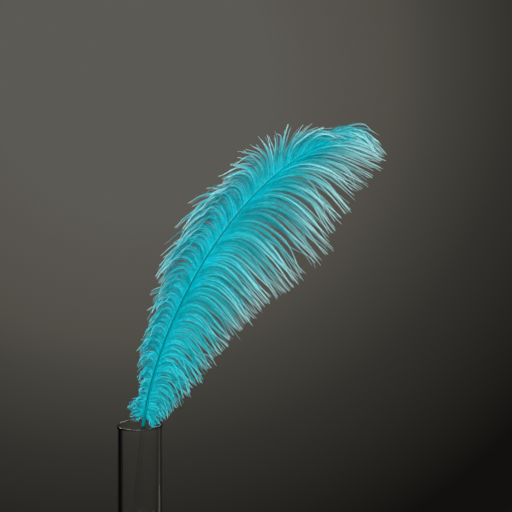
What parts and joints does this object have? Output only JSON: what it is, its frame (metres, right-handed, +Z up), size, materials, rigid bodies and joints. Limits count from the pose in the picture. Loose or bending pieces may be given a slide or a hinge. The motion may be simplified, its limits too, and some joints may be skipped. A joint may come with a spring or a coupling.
{
  "type": "ostrich feather in a glass vase",
  "caption": "Long curved ostrich plume with soft drooping barbs, standing upright in a narrow clear glass cylinder vase.",
  "frame": {"origin": "middle of the vase's flat underside", "axes": "+Z up; +X towards the side the feather bends to; -Y towards the side its grooved face looks to"},
  "size_m": [0.3045, 0.0593, 0.4904],
  "materials": {
    "clear_glass": "clear, fire polished",
    "dyed_shaft": "satin dyed horn",
    "dyed_barbs": "soft dyed barbs"
  },
  "bodies": {
    "root": {"vase": "clear_glass", "shaft": "dyed_shaft", "left_vane": "dyed_barbs", "right_vane": "dyed_barbs"}
  },
  "joints": []
}
